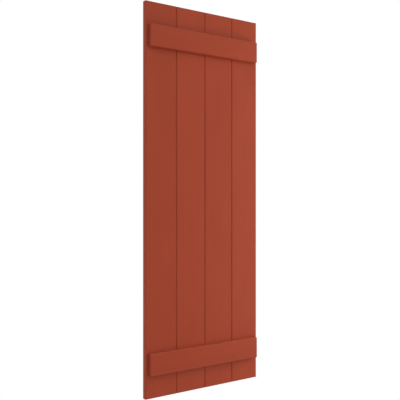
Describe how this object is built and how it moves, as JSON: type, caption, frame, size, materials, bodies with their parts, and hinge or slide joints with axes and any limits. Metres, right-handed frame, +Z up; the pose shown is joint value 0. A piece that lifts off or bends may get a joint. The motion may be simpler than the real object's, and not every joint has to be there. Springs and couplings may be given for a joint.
{
  "type": "board and batten shutter",
  "caption": "Fixed exterior window shutter: V-jointed vertical boards joined edge to edge, with horizontal battens across the front near the top and bottom.",
  "frame": {"origin": "middle of the flat back, where the shutter lies on the wall", "axes": "+Z up along the boards, +Y into the wall, out of the flat back, +X to the right of someone looking at the front"},
  "size_m": [0.5462, 0.0381, 1.524],
  "materials": {
    "board_paint": "satin",
    "batten_paint": "satin",
    "screw_steel": "satin"
  },
  "bodies": {
    "root": {"board_1": "board_paint", "board_2": "board_paint", "board_3": "board_paint", "board_4": "board_paint", "top_batten": "batten_paint", "bottom_batten": "batten_paint"}
  },
  "joints": []
}
